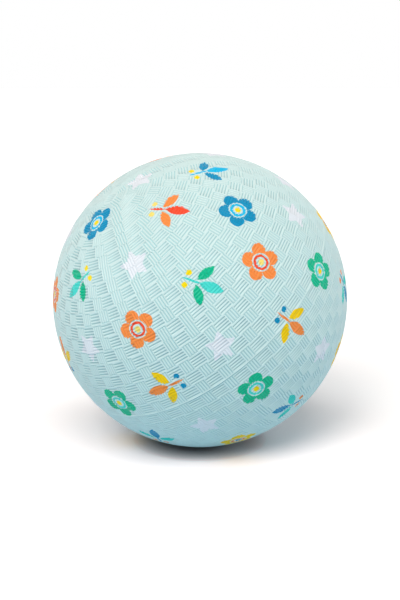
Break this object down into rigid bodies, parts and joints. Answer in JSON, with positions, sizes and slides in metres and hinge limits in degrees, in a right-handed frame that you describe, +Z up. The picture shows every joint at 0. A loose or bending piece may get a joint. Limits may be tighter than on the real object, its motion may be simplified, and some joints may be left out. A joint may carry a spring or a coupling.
{
  "type": "inflatable toy ball",
  "caption": "Round inflatable rubber play ball: moulded cover halves with a basket-weave skin over an air bladder, with a patched valve whose plug pulls out, standing on a small contact flat.",
  "frame": {"origin": "on the floor, at the middle of the small flat that the ball stands on, straight under its centre", "axes": "+Z up, -Y towards the viewer of the picture, +X to the viewer's right; the valve faces back, right and down"},
  "size_m": [0.178, 0.178, 0.1774],
  "materials": {
    "cover_rubber": "satin moulded rubber with a ribbed basket weave and a printed pattern",
    "bladder_rubber": "matt butyl rubber",
    "patch_rubber": "matt rubber, buffed for bonding",
    "housing_rubber": "smooth moulded rubber, off-white",
    "plug_rubber": "smooth moulded rubber, white"
  },
  "bodies": {
    "ball": {"cover_upper_half": "cover_rubber", "cover_lower_half": "cover_rubber", "bladder": "bladder_rubber", "valve_patch": "patch_rubber", "valve_housing": "housing_rubber"},
    "valve_plug": {"valve_plug": "plug_rubber"}
  },
  "joints": [
    {"name": "valve_plug_pull", "type": "slide", "parent": "ball", "child": "valve_plug", "axis": [0.5795, 0.3346, -0.7431], "range_m": [0, 0.011]}
  ]
}
